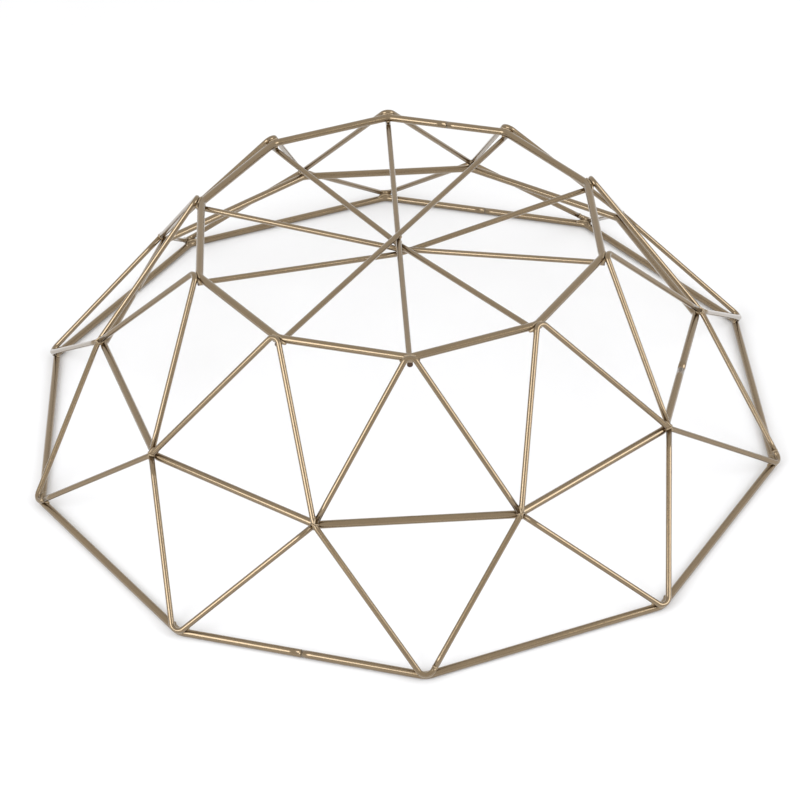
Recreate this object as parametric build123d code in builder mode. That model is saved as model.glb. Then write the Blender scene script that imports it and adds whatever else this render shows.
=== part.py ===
"""Dome climber: a low ten-sided dome of bent steel tube, welded into one frame.

Millimetres, +Z up. The origin is on the ground under the middle of the dome, and corner 0 of the
base hoop points towards -Y. Corners of the base and top hoops are numbered 0 to 9 going round
from there, and the corners of the middle hoop stand half a step further round.
"""

from build123d import *
import os
from math import cos, pi, radians, sin, tan

# Hoops: ten-sided rings of thick tube, measured on their centre lines at the sharp corners
sides = 10
base_radius = 1525.0
middle_radius = 1189.0
top_radius = 804.0
middle_rise = 402.0  # centre line of the middle hoop above that of the base hoop
top_rise = 892.0
hoop_diameter = 30.0
hoop_wall = 2.0
hoop_bend = 60.0  # centre-line radius of a hoop's corners

# Legs (arches and struts) and cross bars: thin tube, with the centre-line radius of each bend
bar_diameter = 22.0
bar_wall = 2.0
foot_bend = 32.0
waist_bend = 110.0
crown_bend = 26.0
hub_bend = 300.0
arch_joint_run = 12.0  # straight tube from the end of a foot's bend to the butt joint
cross_bar_overhang = 10.0  # past the centre line of the top hoop

# Clearances
touch_gap = 0.3  # between tubes that lie on each other, closed by the weld
root_gap = 1.0  # between two tube ends in a butt joint, filled by the weld
cap_gap = 0.1  # between a cap's spigot and the tube's bore, on the radius

# Caps and welds
cap_thickness = 2.0
cap_spigot_length = 4.0
cap_spigot_wall = 1.5
corner_weld_length = 36.0
corner_weld_diameter = 16.0
waist_weld_length = 40.0
waist_weld_diameter = 24.0
waist_weld_depth = 4.0  # its centre below the arch's centre line
bar_weld_diameter = 10.0
hub_weld_diameter = 11.0
butt_weld_width = 7.0
butt_weld_crown = 1.2

half_step = pi / sides
lift = hoop_diameter / 2  # centre line of the base hoop above the ground
contact = (hoop_diameter + bar_diameter) / 2 + touch_gap
hoop_corner_inset = hoop_bend * (1 / cos(half_step) - 1)
up = Vector(0, 0, 1)

os.makedirs("parts", exist_ok=True)


def station(radius, rise, corner):
    """Point at a radius from the axis and a rise above the base hoop, at a corner's bearing."""
    bearing = 2 * half_step * corner - pi / 2
    return Vector(radius * cos(bearing), radius * sin(bearing), lift + rise)


def around(corner):
    """Level unit vector that runs anticlockwise round the dome at a corner's bearing."""
    bearing = 2 * half_step * corner - pi / 2
    return Vector(-sin(bearing), cos(bearing), 0)


def seat(radius, rise, corner):
    """Centre of a hoop's section in the middle of its rounded corner."""
    return station(radius - hoop_corner_inset, rise, corner)


def sharp_corner(before, middle, after, bend):
    """Sharp corner of a path whose rounded corner has its middle at the given point."""
    into = (middle - before).normalized()
    out = (after - middle).normalized()
    half_turn = radians(into.get_angle(out)) / 2
    return middle - (out - into).normalized() * bend * (1 / cos(half_turn) - 1)


def bend_reach(before, middle, after, bend):
    """Distance from a sharp corner of a path to where its rounded corner begins."""
    half_turn = radians((middle - before).get_angle(after - middle)) / 2
    return bend * tan(half_turn)


def waist(corner):
    """Point on the centre line of the legs where they cross a corner of the middle hoop."""
    hoop = seat(middle_radius, middle_rise, corner)
    below = station(base_radius, 0, corner - 0.5)
    above = station(top_radius, top_rise, corner + 0.5)
    leg = (hoop - below).normalized() + (above - hoop).normalized()
    return hoop + around(corner).cross(leg).normalized() * contact


def slope(corner, foot):
    """Unit vector up the dome's side, in the plane of a foot's or a crown's two legs."""
    below = station(base_radius, 0, corner)
    above = station(middle_radius * cos(half_step), middle_rise, corner)
    if not foot:
        below = above
        above = station(top_radius, top_rise, corner)
    return (above - below).normalized()


def foot_seat(corner):
    """Middle of the legs' bend, on their centre line, where it lies on the base hoop."""
    return seat(base_radius, 0, corner) + around(corner).cross(slope(corner, True)) * contact


def crown_seat(corner):
    """Middle of the legs' bend, on their centre line, where it lies on the top hoop."""
    return seat(top_radius, top_rise, corner) + around(corner).cross(slope(corner, False)) * contact


def foot(corner):
    """Sharp corner of the legs' centre line at the base hoop."""
    return sharp_corner(waist(corner - 0.5), foot_seat(corner), waist(corner + 0.5), foot_bend)


def crown(corner):
    """Sharp corner of the legs' centre line over the top hoop."""
    return sharp_corner(waist(corner - 0.5), crown_seat(corner), waist(corner + 0.5), crown_bend)


def leg_corner(corner):
    """Sharp corner of an arch's centre line at the middle hoop."""
    rising = corner % 2 < 1
    ends = (foot(corner - 0.5), crown(corner + 0.5)) if rising else (crown(corner - 0.5), foot(corner + 0.5))
    return sharp_corner(ends[0], waist(corner), ends[1], waist_bend)


def half_way(radius, rise, corner):
    """Middle of a hoop's straight side, given as the corner number plus a half."""
    return station(radius * cos(half_step), rise, corner)


def hoop_points(radius, rise, first, count):
    """Sharp corners of a length of hoop that starts and ends half way along a side."""
    start, end = first - 0.5, first + count - 0.5
    return [
        half_way(radius, rise, start) + around(start) * root_gap / 2,
        *[station(radius, rise, first + i) for i in range(count)],
        half_way(radius, rise, end) - around(end) * root_gap / 2,
    ]


# Hoops. The base and middle hoops are each two bent lengths, the top hoop is one.
hoop_lengths = {
    "base_hoop_right": hoop_points(base_radius, 0, 0, sides // 2),
    "base_hoop_left": hoop_points(base_radius, 0, 5, sides // 2),
    "middle_hoop_front": hoop_points(middle_radius, middle_rise, -2.5, sides // 2),
    "middle_hoop_back": hoop_points(middle_radius, middle_rise, 2.5, sides // 2),
    "top_hoop": hoop_points(top_radius, top_rise, 5, sides),
}
for name, points in hoop_lengths.items():
    with BuildPart() as hoop:
        with BuildLine():
            centre_line = FilletPolyline(*points, radius=hoop_bend)
        with BuildSketch(Plane(origin=centre_line @ 0, z_dir=centre_line % 0)):
            Circle(hoop_diameter / 2)
            Circle(hoop_diameter / 2 - hoop_wall, mode=Mode.SUBTRACT)
        sweep(path=centre_line)
    hoop.part.label = name
    export_step(hoop.part, f"parts/{name}.step")


# Arches. Each starts a little way up a leg from one foot, climbs to the crown beside it, comes
# down to the next foot but one and turns up there to meet the start of the next arch.
def arch_joint(corner):
    """Plane of the butt joint in the leg that rises from a foot, with Z up the leg."""
    before, low, after = leg_corner(corner - 0.5), foot(corner), leg_corner(corner + 0.5)
    leg = (after - low).normalized()
    joint_run = bend_reach(before, low, after, foot_bend) + arch_joint_run
    return Plane(origin=low + leg * joint_run, z_dir=leg)


def arch_points(first):
    start, end = arch_joint(first), arch_joint(first + 2)
    return [
        start.origin + start.z_dir * root_gap / 2,
        leg_corner(first + 0.5),
        crown(first + 1),
        leg_corner(first + 1.5),
        foot(first + 2),
        end.origin - end.z_dir * root_gap / 2,
    ]


arch_feet = range(0, sides, 2)
for number, corner in enumerate(arch_feet, 1):
    with BuildPart() as arch:
        with BuildLine():
            centre_line = FilletPolyline(
                *arch_points(corner),
                radius=[waist_bend, crown_bend, waist_bend, foot_bend],
            )
        with BuildSketch(Plane(origin=centre_line @ 0, z_dir=centre_line % 0)):
            Circle(bar_diameter / 2)
            Circle(bar_diameter / 2 - bar_wall, mode=Mode.SUBTRACT)
        sweep(path=centre_line)
    arch.part.label = f"arch_{number}"
    export_step(arch.part, f"parts/arch_{number}.step")


# Struts. Their ends are cut to the round of the arch that crosses the middle hoop there.
def arch_round(corner):
    """Room for the arch where it bends over a corner of the middle hoop."""
    ends = (foot, crown) if corner % 2 < 1 else (crown, foot)
    middle = leg_corner(corner)
    before = (ends[0](corner - 0.5) - middle).normalized() * (waist_bend + 4 * bar_diameter)
    after = (ends[1](corner + 0.5) - middle).normalized() * (waist_bend + 4 * bar_diameter)
    with BuildPart() as room:
        with BuildLine():
            centre_line = FilletPolyline(middle + before, middle, middle + after, radius=waist_bend)
        with BuildSketch(Plane(origin=centre_line @ 0, z_dir=centre_line % 0)):
            Circle(bar_diameter / 2 + touch_gap)
        sweep(path=centre_line)
    return room.part


strut_sets = {
    "upper_strut": (crown, crown_bend, range(0, sides, 2)),
    "lower_strut": (foot, foot_bend, range(1, sides, 2)),
}
for kind, (corner_of, bend, corners) in strut_sets.items():
    for number, corner in enumerate(corners, 1):
        with BuildPart() as strut:
            with BuildLine():
                centre_line = FilletPolyline(
                    waist(corner - 0.5), corner_of(corner), waist(corner + 0.5), radius=bend
                )
            with BuildSketch(Plane(origin=centre_line @ 0, z_dir=centre_line % 0)):
                Circle(bar_diameter / 2)
                Circle(bar_diameter / 2 - bar_wall, mode=Mode.SUBTRACT)
            sweep(path=centre_line)
            add(arch_round(corner - 0.5), mode=Mode.SUBTRACT)
            add(arch_round(corner + 0.5), mode=Mode.SUBTRACT)
        strut.part.label = f"{kind}_{number}"
        export_step(strut.part, f"parts/{kind}_{number}.step")


# Cross bars. They lie under the top hoop, and each one dips lower in the middle to pass under
# the one before it.
bar_pitch = bar_diameter + touch_gap
bar_end_radius = top_radius - hoop_corner_inset + cross_bar_overhang
bar_end_rise = top_rise - contact
cross_bar_corners = [4, 5, 6, 7, 8]  # the top corner that each one starts from, highest bar first


def hub(level):
    """Middle of a cross bar, on its centre line, with so many bars above it."""
    return up * (lift + bar_end_rise - level * bar_pitch)


def bar_points(level):
    """Ends and middle corner of a cross bar's centre line; the highest bar is straight."""
    corner = cross_bar_corners[level]
    start = station(bar_end_radius, bar_end_rise, corner)
    end = station(bar_end_radius, bar_end_rise, corner + sides / 2)
    if level == 0:
        return [start, end]
    return [start, sharp_corner(start, hub(level), end, hub_bend), end]


for level in range(len(cross_bar_corners)):
    points = bar_points(level)
    with BuildPart() as cross_bar:
        with BuildLine():
            if level == 0:
                centre_line = Line(*points)
            else:
                centre_line = FilletPolyline(*points, radius=hub_bend)
        with BuildSketch(Plane(origin=centre_line @ 0, z_dir=centre_line % 0)):
            Circle(bar_diameter / 2)
            Circle(bar_diameter / 2 - bar_wall, mode=Mode.SUBTRACT)
        sweep(path=centre_line)
    cross_bar.part.label = f"cross_bar_{level + 1}"
    export_step(cross_bar.part, f"parts/cross_bar_{level + 1}.step")


# Caps, one in each end of each cross bar: a disc with a hollow spigot in the bore
with BuildPart() as cap:
    Cylinder(bar_diameter / 2, cap_thickness, align=(Align.CENTER, Align.CENTER, Align.MIN))
    with BuildSketch(Plane.XY):
        Circle(bar_diameter / 2 - bar_wall - cap_gap)
        Circle(bar_diameter / 2 - bar_wall - cap_gap - cap_spigot_wall, mode=Mode.SUBTRACT)
    extrude(amount=-cap_spigot_length)
    fillet(cap.edges().filter_by(GeomType.CIRCLE).sort_by(Axis.Z)[-1], cap_thickness * 0.6)

with BuildPart() as cross_bar_caps:
    for level in range(len(cross_bar_corners)):
        points = bar_points(level)
        start = Plane(origin=points[0], z_dir=points[0] - points[1])
        end = Plane(origin=points[-1], z_dir=points[-1] - points[-2])
        with Locations(start, end):
            add(cap.part)
cross_bar_caps.part.label = "cross_bar_caps"
export_step(cross_bar_caps.part, "parts/cross_bar_caps.step")


# Welds. The metal is fused into both tubes, so each weld's solid runs into them.
def bead_along(length, diameter):
    """Round bead with domed ends that lies along X."""
    with BuildPart() as bead:
        with BuildSketch(Plane.XY):
            SlotOverall(length, diameter)
            split(bisect_by=Plane.XZ, keep=Keep.BOTTOM)
        revolve(axis=Axis.X)
    return bead.part


def hoop_contact(radius, rise, corner, leg_point):
    """Plane on the line where a leg lies on a hoop, with X along the hoop."""
    hoop = seat(radius, rise, corner)
    out = (leg_point - hoop).normalized()
    return Plane(origin=hoop + out * (hoop_diameter / 2), x_dir=around(corner), z_dir=out)


corner_bead = bead_along(corner_weld_length, corner_weld_diameter)

with BuildPart() as base_welds:
    with Locations(*[hoop_contact(base_radius, 0, i, foot_seat(i)) for i in range(sides)]):
        add(corner_bead)
base_welds.part.label = "base_welds"
export_step(base_welds.part, "parts/base_welds.step")

with BuildPart() as top_welds:
    with Locations(*[hoop_contact(top_radius, top_rise, i, crown_seat(i)) for i in range(sides)]):
        add(corner_bead)
top_welds.part.label = "top_welds"
export_step(top_welds.part, "parts/top_welds.step")


def waist_plane(corner):
    """Plane at the crossing on a corner of the middle hoop, with X up the dome's side."""
    hoop = seat(middle_radius, middle_rise, corner)
    out = (waist(corner) - hoop).normalized()
    return Plane(origin=waist(corner) - out * waist_weld_depth, x_dir=out.cross(around(corner)), z_dir=out)


waist_bead = bead_along(waist_weld_length, waist_weld_diameter)
with BuildPart() as middle_welds:
    with Locations(*[waist_plane(i + 0.5) for i in range(sides)]):
        add(waist_bead)
middle_welds.part.label = "middle_welds"
export_step(middle_welds.part, "parts/middle_welds.step")

with BuildPart() as cross_bar_welds:
    for i in range(sides):
        under_hoop = seat(top_radius, top_rise, i) - up * (hoop_diameter + touch_gap) / 2
        with Locations(under_hoop):
            Sphere(bar_weld_diameter / 2)
cross_bar_welds.part.label = "cross_bar_welds"
export_step(cross_bar_welds.part, "parts/cross_bar_welds.step")

with BuildPart() as hub_welds:
    for level in range(len(cross_bar_corners) - 1):
        with Locations((hub(level) + hub(level + 1)) / 2):
            Sphere(hub_weld_diameter / 2)
hub_welds.part.label = "hub_welds"
export_step(hub_welds.part, "parts/hub_welds.step")


def butt_bead(diameter, wall):
    """Ring round a butt joint along Z: it fills the root gap and is crowned outside."""
    inner, outer = diameter / 2 - wall, diameter / 2
    with BuildPart() as bead:
        with BuildSketch(Plane.XZ):
            with BuildLine():
                crown_start = (outer - wall / 2, -butt_weld_width / 2)
                crown_end = (outer - wall / 2, butt_weld_width / 2)
                ThreePointArc(crown_start, (outer + butt_weld_crown, 0), crown_end)
                Line(crown_end, (inner, root_gap / 2))
                Line((inner, root_gap / 2), (inner, -root_gap / 2))
                Line((inner, -root_gap / 2), crown_start)
            make_face()
        revolve(axis=Axis.Z)
    return bead.part


hoop_bead = butt_bead(hoop_diameter, hoop_wall)
hoop_joints = [
    (base_radius, 0, -0.5),
    (base_radius, 0, 4.5),
    (middle_radius, middle_rise, -3),
    (middle_radius, middle_rise, 2),
    (top_radius, top_rise, 4.5),
]
with BuildPart() as hoop_butt_welds:
    for radius, rise, side in hoop_joints:
        with Locations(Plane(origin=half_way(radius, rise, side), z_dir=around(side))):
            add(hoop_bead)
hoop_butt_welds.part.label = "hoop_butt_welds"
export_step(hoop_butt_welds.part, "parts/hoop_butt_welds.step")

arch_bead = butt_bead(bar_diameter, bar_wall)
with BuildPart() as arch_butt_welds:
    with Locations(*[arch_joint(corner) for corner in arch_feet]):
        add(arch_bead)
arch_butt_welds.part.label = "arch_butt_welds"
export_step(arch_butt_welds.part, "parts/arch_butt_welds.step")
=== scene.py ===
from math import acos, ceil, cos, pi, radians, sin

import bpy
import numpy as np
from mathutils import Matrix, Vector


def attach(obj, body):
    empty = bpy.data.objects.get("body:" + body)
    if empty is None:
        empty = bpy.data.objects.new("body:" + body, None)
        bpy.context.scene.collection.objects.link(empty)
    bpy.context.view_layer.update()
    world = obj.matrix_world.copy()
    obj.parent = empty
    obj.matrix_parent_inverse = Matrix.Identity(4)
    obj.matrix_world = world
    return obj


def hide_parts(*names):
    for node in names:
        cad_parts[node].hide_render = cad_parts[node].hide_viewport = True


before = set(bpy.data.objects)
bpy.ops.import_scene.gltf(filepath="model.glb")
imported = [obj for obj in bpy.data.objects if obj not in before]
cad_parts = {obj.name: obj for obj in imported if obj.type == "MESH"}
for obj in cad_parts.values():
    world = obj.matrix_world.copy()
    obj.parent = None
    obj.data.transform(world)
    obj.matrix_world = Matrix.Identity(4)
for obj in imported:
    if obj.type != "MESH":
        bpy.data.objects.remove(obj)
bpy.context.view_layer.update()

# Camera. It looks down on the dome from about nine metres in front through a long lens, so the
# far side of each hoop is nearly as wide as the near side, and it is tipped a little to one side.
camera_turn = radians(-1.97)
camera_rise = radians(39.39)
camera_tip = radians(-1.68)
camera_distance = 9.404
camera_target = Vector((-0.012, 0.0, 0.052))

camera = bpy.data.objects.new("camera", bpy.data.cameras.new("camera"))
bpy.context.scene.collection.objects.link(camera)
bpy.context.scene.camera = camera
camera.data.sensor_width = 36.0
camera.data.lens = 103.03
camera.data.clip_end = 200.0
camera_back = Vector((
    sin(camera_turn) * cos(camera_rise),
    -cos(camera_turn) * cos(camera_rise),
    sin(camera_rise),
))
camera_right = Vector((0, 0, 1)).cross(camera_back).normalized()
camera_up = camera_back.cross(camera_right)
tipped_right = camera_right * cos(camera_tip) + camera_up * sin(camera_tip)
tipped_up = camera_up * cos(camera_tip) - camera_right * sin(camera_tip)
turn = Matrix((tipped_right, tipped_up, camera_back)).transposed()
camera.matrix_world = Matrix.Translation(camera_target + camera_back * camera_distance) @ turn.to_4x4()


# Studio floor. A wide sweep of matt white board that runs out of sight on every side, so the
# tubes see a pale floor below them and a pale room all round.
def linear(hex_colour):
    """Colour of an sRGB hex value for a shader. Each part c becomes ((c + 0.055) / 1.055) to the
    power 2.4, or c / 12.92 where it is dark."""
    parts = [int(hex_colour[i:i + 2], 16) / 255 for i in (1, 3, 5)]
    return (*[c / 12.92 if c <= 0.04045 else ((c + 0.055) / 1.055) ** 2.4 for c in parts], 1.0)


def add_node(tree, kind, sockets=None, **settings):
    """A node with its own settings, whose inputs, by name or place, take a value or a link."""
    made = tree.nodes.new(kind)
    for name, value in settings.items():
        setattr(made, name, value)
    for name, value in (sockets or {}).items():
        if isinstance(value, bpy.types.NodeSocket):
            tree.links.new(value, made.inputs[name])
        else:
            made.inputs[name].default_value = value
    return made


def new_material(name):
    """A material with an empty node tree, and the tree."""
    material = bpy.data.materials.new(name)
    material.use_nodes = True
    material.node_tree.nodes.clear()
    return material, material.node_tree


def white_board():
    """Matt white board: no gloss, and a faint mottling that the eye hardly sees."""
    material, tree = new_material("white_board")
    where = add_node(tree, "ShaderNodeTexCoord")
    mottle = add_node(tree, "ShaderNodeTexNoise", {"Vector": where.outputs["Object"], "Scale": 3.0})
    tone = add_node(tree, "ShaderNodeMix", {
        0: mottle.outputs["Fac"], 6: linear("#ebebeb"), 7: linear("#eeeeee")}, data_type="RGBA")
    surface = add_node(tree, "ShaderNodeBsdfPrincipled", {
        "Base Color": tone.outputs[2], "Roughness": 0.9, "Specular IOR Level": 0.1})
    add_node(tree, "ShaderNodeOutputMaterial", {"Surface": surface.outputs["BSDF"]})
    return material


floor_reach = 60.0
floor_mesh = bpy.data.meshes.new("studio_floor")
floor_mesh.from_pydata(
    [(x * floor_reach, y * floor_reach, 0.0) for x, y in ((-1, -1), (1, -1), (1, 1), (-1, 1))],
    [], [(0, 1, 2, 3)])
floor = bpy.data.objects.new("studio_floor", floor_mesh)
bpy.context.scene.collection.objects.link(floor)
floor_mesh.materials.append(white_board())

# Studio light. The room is an even pale grey, and two large soft boxes stand in front of the
# dome, the stronger one to the left, so that each tube carries one or two long pale streaks.
room_brightness = 1.0
room_colour = "#fdfcfb"
soft_boxes = {
    "soft_box_left": {"bearing": -46, "rise": 32, "size": 6.8, "watts": 480, "colour": "#f4f8ff"},
    "soft_box_right": {"bearing": 64, "rise": 32, "size": 6.2, "watts": 345, "colour": "#f4f8ff"},
}
soft_box_distance = 10.0

world = bpy.data.worlds.new("pale_room")
bpy.context.scene.world = world
world.use_nodes = True
world.node_tree.nodes["Background"].inputs["Color"].default_value = linear(room_colour)
world.node_tree.nodes["Background"].inputs["Strength"].default_value = room_brightness
for name, box in soft_boxes.items():
    lamp = bpy.data.objects.new(name, bpy.data.lights.new(name, "AREA"))
    bpy.context.scene.collection.objects.link(lamp)
    lamp.data.shape = "DISK"
    lamp.data.size = box["size"]
    lamp.data.energy = box["watts"]
    lamp.data.color = linear(box["colour"])[:3]
    bearing, rise = radians(box["bearing"]) + camera_turn, radians(box["rise"])
    back = Vector((sin(bearing) * cos(rise), -cos(bearing) * cos(rise), sin(rise)))
    facing = back.to_track_quat("Z", "Y").to_matrix().to_4x4()
    lamp.matrix_world = Matrix.Translation(back * soft_box_distance) @ facing
bpy.context.scene.view_settings.view_transform = "Standard"


# Hoops. Three ten-sided rings of 30 mm steel tube. The base and middle rings are each two bent
# lengths butted end to end, the top ring is one, and all are powder coated after welding.
sides = 10
half_step = pi / sides
hoop_radius = 0.015
hoop_bend = 0.060
hoop_flattening = 0.03
base_hoop, middle_hoop, top_hoop = (1.525, 0.015), (1.189, 0.417), (0.804, 0.907)  # radius, height
root_gap = 0.001  # between two tube ends in a butt joint
up = np.array((0.0, 0.0, 1.0))


def unit(vector):
    """Vectors over their lengths."""
    return vector / np.linalg.norm(vector, axis=-1, keepdims=True)


def station(hoop, corner):
    """Sharp corner of a hoop's centre line, hoop being its radius and height, from the bearing."""
    bearing = 2 * half_step * corner - pi / 2
    return np.array((hoop[0] * cos(bearing), hoop[0] * sin(bearing), hoop[1]))


def around(corner):
    """Level direction that runs anticlockwise round the dome at a corner."""
    bearing = 2 * half_step * corner - pi / 2
    return np.array((-sin(bearing), cos(bearing), 0.0))


def side_middle(hoop, corner):
    """Middle of a hoop's straight side, a half corner number on from a corner."""
    return station((hoop[0] * cos(half_step), hoop[1]), corner)


def rounded_path(points, bends, arc_steps=14, step=0.045):
    """Centre line through sharp corners, each rounded to its bend. On an arc the point is the
    bend's centre less bend times (cos a inward - sin a onward), a running over the turn.
    Returns points, tangents, and the pull: a vector towards the bend's centre, 1 in mid bend."""
    points = np.array(points)
    legs = unit(points[1:] - points[:-1])
    places, tangents, pulls, last = [], [], [], points[0]
    for corner, before, after, bend in zip(points[1:-1], legs, legs[1:], bends):
        half_turn = acos(before @ after) / 2
        inward, onward = unit(after - before), unit(after + before)
        angle = np.linspace(-half_turn, half_turn, arc_steps + 1)[:, None]
        centre = corner + inward * bend / cos(half_turn)
        arc = centre - bend * (np.cos(angle) * inward - np.sin(angle) * onward)
        count = ceil(np.linalg.norm(arc[0] - last) / step)
        share = np.arange(count)[:, None] / count
        places += [last + (arc[0] - last) * share, arc[:-1]]
        tangents += [before + 0 * share, (np.cos(angle) * onward + np.sin(angle) * inward)[:-1]]
        strength = np.cos(angle / half_turn * pi / 2)
        pulls += [0 * share * before, (strength * (np.cos(angle) * inward - np.sin(angle) * onward))[:-1]]
        last = arc[-1]
    count = ceil(np.linalg.norm(points[-1] - last) / step)
    share = np.arange(count + 1)[:, None] / count
    places.append(last + (points[-1] - last) * share)
    tangents.append(legs[-1] + 0 * share)
    pulls.append(0 * share * legs[-1])
    return np.concatenate(places), np.concatenate(tangents), np.concatenate(pulls)


def tube(path, radius, facing, flattening=0.0, around_steps=40):
    """Round tube carried along a path: point + radius (cos v side + sin v normal), where the
    normal is the facing direction squared to the tangent. In a bend the section loses a share
    of its depth towards the bend's centre."""
    places, tangents, pulls = path
    side = unit(np.cross(facing, tangents))
    normal = np.cross(tangents, side)
    v = np.linspace(0, 2 * pi, around_steps, endpoint=False)
    ring = np.cos(v)[None, :, None] * side[:, None] + np.sin(v)[None, :, None] * normal[:, None]
    depth = (ring * pulls[:, None]).sum(2, keepdims=True)
    return places[:, None] + radius * (ring - flattening * depth * pulls[:, None])


def closed_mesh(name, grids, material):
    """Mesh object of closed pieces. Each is a grid of points whose rows go round it: four-sided
    faces join each row to the next, and a fan round its middle closes each end."""
    points, quads, fans, start = [], [], [], 0
    for grid in grids:
        rows, columns = grid.shape[:2]
        number = start + np.arange(rows * columns).reshape(rows, columns)
        nearer, further = number[:-1], number[1:]
        bands = np.stack((nearer, np.roll(nearer, -1, 1), np.roll(further, -1, 1), further), -1)
        low, high = number[0], number[-1]
        low_middle = np.full(columns, start + rows * columns)
        points += [grid.reshape(-1, 3), grid[0].mean(0)[None], grid[-1].mean(0)[None]]
        quads.append(bands.reshape(-1, 4))
        fans.append(np.stack((np.roll(low, -1), low, low_middle), -1))
        fans.append(np.stack((high, np.roll(high, -1), low_middle + 1), -1))
        start += rows * columns + 2
    faces = np.concatenate(quads).tolist() + np.concatenate(fans).tolist()
    mesh = bpy.data.meshes.new(name)
    mesh.from_pydata(np.concatenate(points).tolist(), [], faces)
    mesh.polygons.foreach_set("use_smooth", np.ones(len(faces), bool))
    mesh.materials.append(material)
    made = bpy.data.objects.new(name, mesh)
    bpy.context.scene.collection.objects.link(made)
    return made


def fit(piece, node):
    """Hangs a piece on the frame in place of the CAD node that it shows."""
    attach(piece, "root")
    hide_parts(node)


def bronze_powder_coat():
    """Steel tube with a baked bronze powder coat full of metal flake under a clear top coat. The
    eye sees a taupe metal with broad soft streaks, a fine orange peel, and flakes that glint."""
    material, tree = new_material("bronze_powder_coat")
    where = add_node(tree, "ShaderNodeTexCoord").outputs["Object"]
    # The coat's thickness wanders over some 120 mm, which shifts its tone a little.
    drift = add_node(tree, "ShaderNodeTexNoise", {"Vector": where, "Scale": 8.0, "Detail": 3.0})
    # Flakes are 0.05 mm, too fine to show, so they are drawn 1.2 mm across.
    flake = add_node(tree, "ShaderNodeTexVoronoi", {"Vector": where, "Scale": 830.0})
    flake_tone = add_node(tree, "ShaderNodeSeparateColor", {"Color": flake.outputs["Color"]})
    tone = add_node(tree, "ShaderNodeMix", {
        0: drift.outputs["Fac"], 6: linear("#7c694e"), 7: linear("#887456")}, data_type="RGBA")
    flaked = add_node(tree, "ShaderNodeMapRange", {
        "Value": flake_tone.outputs[0], "To Min": 0.88, "To Max": 1.12})
    shade = add_node(tree, "ShaderNodeVectorMath", {
        0: tone.outputs[2], 1: flaked.outputs["Result"]}, operation="MULTIPLY")
    rough = add_node(tree, "ShaderNodeMapRange", {
        "Value": drift.outputs["Fac"], "From Min": 0.3, "From Max": 0.7, "To Min": 0.17, "To Max": 0.24})
    # Orange peel has a wave of 1.5 mm, drawn 3 mm long.
    peel = add_node(tree, "ShaderNodeTexNoise", {"Vector": where, "Scale": 330.0, "Detail": 1.0})
    bump = add_node(tree, "ShaderNodeBump", {
        "Height": peel.outputs["Fac"], "Strength": 0.25, "Distance": 0.0004})
    surface = add_node(tree, "ShaderNodeBsdfPrincipled", {
        "Base Color": shade.outputs[0], "Metallic": 1.0, "Roughness": rough.outputs["Result"],
        "Normal": bump.outputs["Normal"], "Coat Weight": 1.0, "Coat Roughness": 0.07})
    add_node(tree, "ShaderNodeOutputMaterial", {"Surface": surface.outputs["BSDF"]})
    return material


def hoop_length(hoop, first, count):
    """Tube of a length of hoop round so many corners, from half way along one side to another."""
    start, end = first - 0.5, first + count - 0.5
    path = rounded_path([
        side_middle(hoop, start) + around(start) * root_gap / 2,
        *[station(hoop, first + i) for i in range(count)],
        side_middle(hoop, end) - around(end) * root_gap / 2,
    ], [hoop_bend] * count)
    return tube(path, hoop_radius, up, hoop_flattening, around_steps=48)


bronze = bronze_powder_coat()
# Each length's hoop, its first corner and how many corners it has.
hoop_lengths = {
    "base_hoop_right": (base_hoop, 0, 5),
    "base_hoop_left": (base_hoop, 5, 5),
    "middle_hoop_front": (middle_hoop, -2.5, 5),
    "middle_hoop_back": (middle_hoop, 2.5, 5),
    "top_hoop": (top_hoop, 5, 10),
}
for node, length in hoop_lengths.items():
    fit(closed_mesh(node + "_tube", [hoop_length(*length)], bronze), node)


# Arches. Five lengths of 22 mm steel tube, each bent four times on a bender: up from a foot on
# the base hoop, over the middle hoop, round a crown on the top hoop and down to the next foot.
leg_radius = 0.011
foot_bend = 0.032
waist_bend = 0.110
crown_bend = 0.026
leg_flattening = 0.08
arch_joint_run = 0.012  # straight tube from the end of a foot's bend to the butt joint
touch_gap = 0.0003  # between tubes that lie on each other
contact = hoop_radius + leg_radius + touch_gap
hoop_corner_inset = hoop_bend * (1 / cos(half_step) - 1)


def seat(hoop, corner):
    """Centre of a hoop's section in the middle of its rounded corner."""
    return station((hoop[0] - hoop_corner_inset, hoop[1]), corner)


def sharp_corner(before, middle, after, bend):
    """Sharp corner of a path whose rounded corner has its middle at the given point."""
    into, out = unit(middle - before), unit(after - middle)
    return middle - unit(out - into) * bend * (1 / cos(acos(into @ out) / 2) - 1)


def waist_facing(corner):
    """Direction out of the dome at a corner of the middle hoop, square to the legs there."""
    hoop = seat(middle_hoop, corner)
    below, above = station(base_hoop, corner - 0.5), station(top_hoop, corner + 0.5)
    return unit(np.cross(around(corner), unit(hoop - below) + unit(above - hoop)))


def waist(corner):
    """Point on the legs' centre line where they cross a corner of the middle hoop."""
    return seat(middle_hoop, corner) + waist_facing(corner) * contact


def slope(hoop, corner):
    """Direction up the dome's side, in the plane of the two legs that meet on a hoop's corner."""
    middle = side_middle(middle_hoop, corner)
    return unit(middle - station(hoop, corner)) * (1 if hoop is base_hoop else -1)


def slope_facing(hoop, corner):
    """Direction out of the dome, square to the two legs that meet on a hoop's corner."""
    return np.cross(around(corner), slope(hoop, corner))


def leg_turn(hoop, corner, bend):
    """Sharp corner of the legs' centre line where it turns on the base or top hoop."""
    middle = seat(hoop, corner) + slope_facing(hoop, corner) * contact
    return sharp_corner(waist(corner - 0.5), middle, waist(corner + 0.5), bend)


def foot(corner):
    """Sharp corner of the legs' centre line on the base hoop."""
    return leg_turn(base_hoop, corner, foot_bend)


def crown(corner):
    """Sharp corner of the legs' centre line on the top hoop."""
    return leg_turn(top_hoop, corner, crown_bend)


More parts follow.
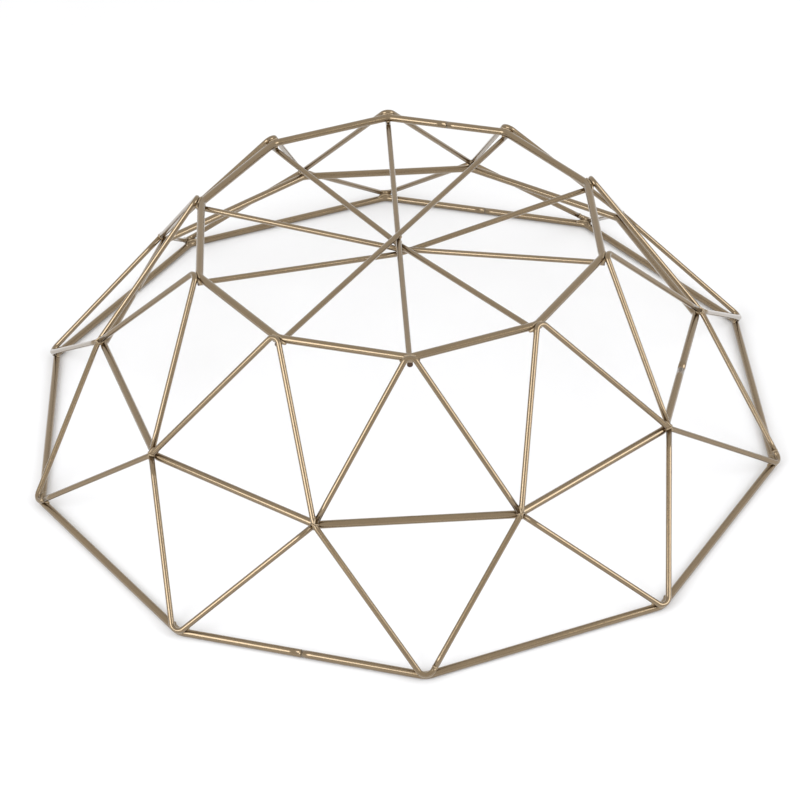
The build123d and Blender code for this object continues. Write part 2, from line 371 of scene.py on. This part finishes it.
def leg_ends(corner):
    """Feet and crowns that an arch joins across a corner of the middle hoop, in its order."""
    lower_first = corner % 2 < 1
    turns = (foot, crown) if lower_first else (crown, foot)
    return turns[0](corner - 0.5), turns[1](corner + 0.5)


def leg_corner(corner):
    """Sharp corner of an arch's centre line at the middle hoop."""
    before, after = leg_ends(corner)
    return sharp_corner(before, waist(corner), after, waist_bend)


def arch_joint(corner):
    """Middle of the butt joint above a foot, and the direction up the leg there."""
    into = unit(foot(corner) - leg_corner(corner - 0.5))
    leg = unit(leg_corner(corner + 0.5) - foot(corner))
    turn_half = acos(into @ leg) / 2
    return foot(corner) + leg * (foot_bend * np.tan(turn_half) + arch_joint_run), leg


below_dome = np.array((0.0, 0.0, -0.6))


def outward(places):
    """Direction out of the dome at points of a leg, seen from a point below it on the axis."""
    return unit(places - below_dome)


for number in range(sides // 2):
    first = 2 * number
    (start, start_leg), (end, end_leg) = arch_joint(first), arch_joint(first + 2)
    path = rounded_path([
        start + start_leg * root_gap / 2,
        leg_corner(first + 0.5),
        crown(first + 1),
        leg_corner(first + 1.5),
        foot(first + 2),
        end - end_leg * root_gap / 2,
    ], [waist_bend, crown_bend, waist_bend, foot_bend])
    grid = tube(path, leg_radius, outward(path[0]), leg_flattening)
    fit(closed_mesh(f"arch_{number + 1}_tube", [grid], bronze), f"arch_{number + 1}")


# Struts. Ten short lengths of the same tube bent once, five over the top hoop and five on the
# base hoop. Their ends are cut to the round of the arch that crosses the middle hoop there.
arch_line_reach = waist_bend + 0.09
coping_steps = 60
coping_room = 0.045  # from a middle corner to the last plain ring of a strut


def arch_line(corner):
    """Points close together on an arch's centre line near a corner of the middle hoop."""
    before, after = leg_ends(corner)
    middle = leg_corner(corner)
    start = middle + unit(before - middle) * arch_line_reach
    end = middle + unit(after - middle) * arch_line_reach
    return rounded_path([start, middle, end], [waist_bend], arc_steps=60, step=0.002)[0]


def coped(places, direction, line):
    """Where lines from the given points, all one way, first meet the arch's surface: each point
    steps on by its distance from the arch until none is left."""
    for _ in range(coping_steps):
        gap = np.sqrt(((places[:, None] - line[None]) ** 2).sum(2).min(1)) - leg_radius - touch_gap
        places = places + gap[:, None] * direction
    return places


def strut_grid(corner, turn_of, bend):
    """Tube bent once between two corners of the middle hoop, with both end rows coped."""
    ends = waist(corner - 0.5), waist(corner + 0.5)
    path = rounded_path([ends[0], turn_of(corner), ends[1]], [bend])
    grid = tube(path, leg_radius, outward(path[0]), leg_flattening)
    clear = [np.linalg.norm(path[0] - end, axis=1) > coping_room for end in ends]
    grid = grid[clear[0] & clear[1]]
    first = coped(grid[0], unit(ends[0] - path[0][1]), arch_line(corner - 0.5))
    last = coped(grid[-1], unit(ends[1] - path[0][-2]), arch_line(corner + 0.5))
    return np.concatenate((first[None], grid, last[None]))


strut_sets = {
    "upper_strut": (crown, crown_bend, range(0, sides, 2)),
    "lower_strut": (foot, foot_bend, range(1, sides, 2)),
}
coped_ends = []
for kind, (turn_of, bend, corners) in strut_sets.items():
    for number, corner in enumerate(corners, 1):
        grid = strut_grid(corner, turn_of, bend)
        coped_ends += [grid[0], grid[-1]]
        fit(closed_mesh(f"{kind}_{number}_tube", [grid], bronze), f"{kind}_{number}")


# Cross bars. Five straight lengths of the same tube under the top hoop, from corner to opposite
# corner. The highest is straight; each other one is bent a little in the middle to pass below it.
bar_pitch = 2 * leg_radius + touch_gap
bar_overhang = 0.010  # past the centre line of the top hoop
hub_bend = 0.300
bar_height = top_hoop[1] - contact
bar_end = (top_hoop[0] - hoop_corner_inset + bar_overhang, bar_height)
bar_corners = [4, 5, 6, 7, 8]


def hub(level):
    """Middle of a cross bar, on its centre line, with so many bars above it."""
    return up * (bar_height - level * bar_pitch)


def bar_points(level):
    """Sharp corners of a cross bar's centre line."""
    start = station(bar_end, bar_corners[level])
    end = station(bar_end, bar_corners[level] + sides // 2)
    if level == 0:
        return [start, end]
    return [start, sharp_corner(start, hub(level), end, hub_bend), end]


for level in range(len(bar_corners)):
    points = bar_points(level)
    path = rounded_path(points, [hub_bend] * (len(points) - 2))
    cross_bar = closed_mesh(f"cross_bar_{level + 1}_tube", [tube(path, leg_radius, up)], bronze)
    fit(cross_bar, f"cross_bar_{level + 1}")


# Caps. Ten plugs pressed from steel sheet, pushed into the open ends of the cross bars and coated
# with them, so that only a thin domed disc shows.
def dark_cap_coat():
    """Bronze powder coat on a pressed steel plug, coloured a darker brown than the tube's coat. The
    eye sees a dull dark brown disc with a soft broad highlight."""
    material, tree = new_material("dark_bronze_powder_coat_on_pressed_steel")
    where = add_node(tree, "ShaderNodeTexCoord").outputs["Object"]
    # The coat's orange peel has a wave of 1.5 mm, drawn 0.8 mm long to fit the small disc.
    grain = add_node(tree, "ShaderNodeTexNoise", {"Vector": where, "Scale": 1250.0, "Detail": 1.0})
    # The disc's tones are set darker than the tube's coat.
    tone = add_node(tree, "ShaderNodeMix", {
        0: grain.outputs["Fac"], 6: linear("#4a3a31"), 7: linear("#5b4a3f")}, data_type="RGBA")
    bump = add_node(tree, "ShaderNodeBump", {
        "Height": grain.outputs["Fac"], "Strength": 0.3, "Distance": 0.0002})
    surface = add_node(tree, "ShaderNodeBsdfPrincipled", {
        "Base Color": tone.outputs[2], "Metallic": 1.0, "Roughness": 0.40,
        "Normal": bump.outputs["Normal"]})
    add_node(tree, "ShaderNodeOutputMaterial", {"Surface": surface.outputs["BSDF"]})
    return material


cap_thickness = 0.002
cap_rounding = 0.0012
cap_dome = 0.0002  # its middle above its edge
cap_flat_radius = 0.004
# The groove under the rim, from inside the bore outwards: heights from the tube's end, and radii.
groove_heights = [-0.003, 0.0, 0.0002]
groove_radii = [0.0085, 0.0100, 0.0109]


def turned(origin, axis, heights, radii, around_steps=40):
    """Surface turned about an axis: point on the axis + radius (cos v one way + sin v the other)."""
    side = unit(np.cross(axis, up if abs(axis[2]) < 0.9 else np.array((1.0, 0.0, 0.0))))
    other = np.cross(axis, side)
    v = np.linspace(0, 2 * pi, around_steps, endpoint=False)
    ring = np.cos(v)[:, None] * side + np.sin(v)[:, None] * other
    return origin + heights[:, None, None] * axis + radii[..., None] * ring


def cap_grid(end, inner):
    """Disc on a tube's end: a shallow groove, a straight rim, a quarter round and a flat dome.
    On the round, height is thickness - rounding (1 - sin q), radius is tube - rounding (1 - cos q)."""
    quarter = np.linspace(0, pi / 2, 7)
    edge_heights = cap_thickness - cap_rounding * (1 - np.sin(quarter))
    edge_radii = leg_radius - cap_rounding * (1 - np.cos(quarter))
    heights = np.concatenate((groove_heights, edge_heights, [cap_thickness + cap_dome]))
    radii = np.concatenate((groove_radii, edge_radii, [cap_flat_radius]))
    return turned(end, unit(end - inner), heights, radii[:, None])


cap_grids = []
for level in range(len(bar_corners)):
    points = bar_points(level)
    cap_grids += [cap_grid(points[0], points[1]), cap_grid(points[-1], points[-2])]
fit(closed_mesh("cross_bar_cap_plugs", cap_grids, dark_cap_coat()), "cross_bar_caps")


# Corner welds. Where a bent leg lies on the base or the top hoop, a bead of weld metal is run
# along the nook between the two tubes, inside the V and again, shorter, on its outer side. The
# top hoop has a second bead inside the V, nearer to the cross bar.
def weld_metal_painted_lighter():
    """Ripples of mild steel weld metal under the same bronze coat, coloured a little lighter than the
    tube: painted light that offsets the shade in the nooks where the beads lie. The eye sees small
    lumps with many small glints."""
    material, tree = new_material("weld_metal_painted_lighter")
    where = add_node(tree, "ShaderNodeTexCoord").outputs["Object"]
    # Spatter and scale are 0.5 mm, drawn 1.5 mm across so that they show.
    spatter = add_node(tree, "ShaderNodeTexNoise", {"Vector": where, "Scale": 650.0, "Detail": 2.0})
    # Painted light: these tones are lighter than the tube's to offset the shade that falls in the nooks.
    tone = add_node(tree, "ShaderNodeMix", {
        0: spatter.outputs["Fac"], 6: linear("#8a775c"), 7: linear("#a18d6f")}, data_type="RGBA")
    bump = add_node(tree, "ShaderNodeBump", {
        "Height": spatter.outputs["Fac"], "Strength": 0.5, "Distance": 0.0006})
    surface = add_node(tree, "ShaderNodeBsdfPrincipled", {
        "Base Color": tone.outputs[2], "Metallic": 1.0, "Roughness": 0.33,
        "Normal": bump.outputs["Normal"], "Coat Weight": 0.9, "Coat Roughness": 0.1})
    add_node(tree, "ShaderNodeOutputMaterial", {"Surface": surface.outputs["BSDF"]})
    return material


weld_metal = weld_metal_painted_lighter()
ripple_pitch = 0.0025
bead_lift = 0.001  # a corner bead's middle above the hoop's surface
# Each bead's half length, its nook angle, and its half width in the middle and at its ends.
base_corner_beads = [
    {"reach": 0.040, "nook": 0.50, "middle": 0.0062, "ends": 0.0070},
    {"reach": 0.022, "nook": -0.46, "middle": 0.0042, "ends": 0.0036},
]
top_corner_beads = [
    {"reach": 0.035, "nook": 0.50, "middle": 0.0074, "ends": 0.0066},
    {"reach": 0.018, "nook": 0.95, "middle": 0.0060, "ends": 0.0042},
    {"reach": 0.020, "nook": -0.46, "middle": 0.0042, "ends": 0.0034},
]


def bead(line, half_width, facing, around_steps=20):
    """Weld bead carried along a line. Its half width, by station, is rippled like a row of
    overlapping coins: times 1 + 0.08 cos(2 pi (s + lag) / pitch), the lag being least on top."""
    tangents = unit(np.gradient(line, axis=0))
    side = unit(np.cross(facing, tangents))
    normal = np.cross(tangents, side)
    v = np.linspace(0, 2 * pi, around_steps, endpoint=False)
    run = np.concatenate(([0.0], np.cumsum(np.linalg.norm(np.diff(line, axis=0), axis=1))))
    lag = half_width[:, None] * (1 - np.sin(v)[None]) * 0.5
    ripple = 1 + 0.08 * np.cos(2 * pi * (run[:, None] + lag) / ripple_pitch)
    ring = np.cos(v)[None, :, None] * side[:, None] + np.sin(v)[None, :, None] * normal[:, None]
    return line[:, None] + (half_width[:, None] * ripple)[..., None] * ring


def swell(share, middle, ends):
    """Half width by share along a bead, -1 to 1: from the middle's to the ends' as the square
    of the share, then closed off round as the root of 1 - share to the sixth."""
    return (middle + (ends - middle) * share ** 2) * np.sqrt(np.clip(1 - share ** 6, 0.004, 1))


def hoop_corner(hoop, corner, run):
    """Hoop's centre line and its level outward direction, by run along it from a corner's
    middle: an arc of the bend's radius, then straight."""
    angle = np.clip(run / hoop_bend, -half_step, half_step)[:, None]
    rest = run[:, None] - hoop_bend * angle
    along, out = around(corner), unit(station((1.0, 0.0), corner))
    outwards = np.cos(angle) * out + np.sin(angle) * along
    onwards = np.cos(angle) * along - np.sin(angle) * out
    return seat(hoop, corner) + hoop_bend * (outwards - out) + rest * onwards, outwards


def corner_bead(hoop, corner, bend, reach, nook, middle, ends):
    """Bead in a nook between hoop and leg. In each section of the hoop it lies just off the
    hoop's surface, turned by the nook angle from the direction to the leg's centre; the leg
    leaves the hoop by bend - root(bend squared - run squared), then in a straight line."""
    turn_of = foot if hoop is base_hoop else crown
    into = unit(turn_of(corner) - waist(corner - 0.5))
    out = unit(waist(corner + 0.5) - turn_of(corner))
    half_turn = acos(into @ out) / 2
    share = np.linspace(-1, 1, 90)
    run = share * reach
    curved = np.minimum(abs(run), bend * sin(half_turn))
    rise = bend - np.sqrt(bend ** 2 - curved ** 2) + (abs(run) - curved) * np.tan(half_turn)
    sense = 1 if hoop is base_hoop else -1
    centre, outwards = hoop_corner(hoop, corner, run)
    facing = slope_facing(hoop, corner)
    tilt = np.arctan2(facing[2], np.linalg.norm(facing[:2]))
    angle = (tilt + sense * (np.arctan2(rise, contact) + nook))[:, None]
    direction = np.cos(angle) * outwards + np.sin(angle) * up
    return bead(centre + (hoop_radius + bead_lift) * direction, swell(share, middle, ends), direction)


base_beads, top_beads = [], []
for corner in range(sides):
    base_beads += [corner_bead(base_hoop, corner, foot_bend, **sizes) for sizes in base_corner_beads]
    top_beads += [corner_bead(top_hoop, corner, crown_bend, **sizes) for sizes in top_corner_beads]
fit(closed_mesh("base_corner_beads", base_beads, weld_metal), "base_welds")
fit(closed_mesh("top_corner_beads", top_beads, weld_metal), "top_welds")


# Middle welds. At each corner of the middle hoop a bead runs round the cut end of either strut,
# and two short ones on the hoop hold the arch that passes over it.
coped_half_width = 0.0036
coped_wander = 0.0006
crossing_half_length = 0.009
crossing_offset = 0.0075  # from the arch's centre line, along the hoop's surface
crossing_lift = 0.0012
crossing_widths = (0.0052, 0.0040)  # half widths in the middle and at the ends


def coped_bead(row):
    """Closed bead round a strut's cut end, along the end row's points. Its half width wanders by
    the sine of three times the way round, starting anywhere."""
    count = len(row)
    line = row[np.arange(count + 1) % count]
    share = np.linspace(0, 2 * pi, count + 1)
    width = coped_half_width + coped_wander * np.sin(3 * share + row[0, 0] * 40)
    return bead(line, width, unit(line - row.mean(0)), around_steps=14)


def crossing_bead(corner, hand):
    """Short bead beside the arch, laid on the hoop's round: each point is on the line beside
    the arch, wrapped round the hoop by the arcsine of its height over the hoop's radius."""
    share = np.linspace(-1, 1, 40)
    facing, along = waist_facing(corner), around(corner)
    rising = np.cross(facing, along)
    before, after = leg_ends(corner)
    arch_way = unit(after - before)
    beside = np.cross(facing, arch_way)
    flat = share[:, None] * crossing_half_length * arch_way + hand * crossing_offset * beside
    wrap = np.arcsin(np.clip(flat @ rising / hoop_radius, -0.95, 0.95))[:, None]
    direction = np.cos(wrap) * facing + np.sin(wrap) * rising
    level_run = (flat @ along)[:, None] * along
    line = seat(middle_hoop, corner) + level_run + (hoop_radius + crossing_lift) * direction
    return bead(line, swell(share, *crossing_widths), direction)


middle_beads = [coped_bead(row) for row in coped_ends]
middle_beads += [crossing_bead(corner + 0.5, hand) for corner in range(sides) for hand in (-1, 1)]
fit(closed_mesh("middle_beads", middle_beads, weld_metal), "middle_welds")


# Cross-bar welds. Each bar end is tacked to the underside of the top hoop by two short beads
# across its back, one inside the hoop and a thinner one outside it.
bar_bead_half_length = 0.0075
bar_bead_lift = 0.0016
# Each bead's offset outwards from the hoop's centre line, and its half widths.
bar_bead_sizes = [
    {"offset": -0.0085, "middle": 0.0044, "ends": 0.0034},
    {"offset": 0.0062, "middle": 0.0032, "ends": 0.0026},
]


def bar_bead(corner, offset, middle, ends):
    """Bead across a cross bar, wrapped round its back by run over radius."""
    share = np.linspace(-1, 1, 40)
    wrap = (share * bar_bead_half_length / leg_radius)[:, None]
    direction = np.cos(wrap) * up + np.sin(wrap) * around(corner)
    out = unit(station((1.0, 0.0), corner))
    centre = seat(top_hoop, corner) - up * contact + out * offset
    line = centre + (leg_radius + bar_bead_lift) * direction
    return bead(line, swell(share, middle, ends), direction)


bar_beads = [bar_bead(corner, **sizes) for sizes in bar_bead_sizes for corner in range(sides)]
fit(closed_mesh("cross_bar_beads", bar_beads, weld_metal), "cross_bar_welds")


# Hub welds. Where the cross bars lie on each other in the middle, a short bead on either side
# of each crossing ties a bar to the one above it.
hub_bead_half_length = 0.011
hub_bead_offset = 0.0085
hub_bead_widths = (0.0046, 0.0034)  # half widths in the middle and at the ends


def hub_bead(level, hand):
    """Bead beside a crossing, level, along the line half way between the two bars' directions."""
    share = np.linspace(-1, 1, 40)
    ways = [unit(station((1.0, 0.0), bar_corners[level + i])) for i in range(2)]
    along = unit(ways[0] + ways[1])
    beside = np.cross(up, along) * hand
    middle = (hub(level) + hub(level + 1)) / 2
    line = middle + beside * hub_bead_offset + share[:, None] * hub_bead_half_length * along
    return bead(line, swell(share, *hub_bead_widths), beside + 0 * line)


hub_beads = [hub_bead(level, hand) for level in range(len(bar_corners) - 1) for hand in (-1, 1)]
fit(closed_mesh("hub_beads", hub_beads, weld_metal), "hub_welds")


# Butt welds. A ring of weld metal fills the gap where two tube ends meet, in the hoops and a
# little way up one leg of each second foot. In the hoops it is ground flush, but for one that is
# left half a millimetre proud. On the legs it stands a millimetre proud, with a burr.
ring_half_width = 0.0034
ring_edge_sink = 0.0001
ground_crown, proud_crown, leg_crown = 0.00013, 0.0005, 0.0009
hoop_ripples, leg_ripples = 30, 22
burr_half_length = 0.0045
burr_sink = 0.0005
burr_widths = (0.0026, 0.0020)  # half widths in the middle and at the ends


def butt_ring(middle, axis, radius, crown_height, count):
    """Low barrel round a joint: radius - sink + crown (1 - t squared), rippled so many times."""
    share = np.linspace(-1, 1, 17)
    v = np.linspace(0, 2 * pi, 96, endpoint=False)
    lag = 0.35 * share[:, None] ** 2
    ripple = 1 + 0.16 * np.cos(count * (v[None] + lag))
    height = crown_height * (1 - share[:, None] ** 2) * ripple
    return turned(middle, axis, share * ring_half_width, radius - ring_edge_sink + height, around_steps=96)


# Each joint's hoop, the corner number half way along its side, and its crown.
hoop_joints = [
    (base_hoop, -0.5, proud_crown),
    (base_hoop, 4.5, ground_crown),
    (middle_hoop, -3, ground_crown),
    (middle_hoop, 2, ground_crown),
    (top_hoop, 4.5, ground_crown),
]
hoop_rings = [
    butt_ring(side_middle(hoop, side), around(side), hoop_radius, crown_height, hoop_ripples)
    for hoop, side, crown_height in hoop_joints
]
fit(closed_mesh("hoop_joint_rings", hoop_rings, bronze), "hoop_butt_welds")


def burr(corner):
    """Lump left on the side of an arch's joint that faces into the V."""
    middle, leg = arch_joint(corner)
    inner = unit(up - leg * (up @ leg))
    share = np.linspace(-1, 1, 24)
    run = share[:, None] * burr_half_length * np.cross(leg, inner)
    line = middle + inner * (leg_radius - burr_sink) + run
    return bead(line, swell(share, *burr_widths), inner + 0 * line)


arch_rings = [
    butt_ring(*arch_joint(corner), leg_radius, leg_crown, leg_ripples)
    for corner in range(0, sides, 2)
]
arch_rings += [burr(corner) for corner in range(0, sides, 2)]
fit(closed_mesh("arch_joint_rings", arch_rings, weld_metal), "arch_butt_welds")
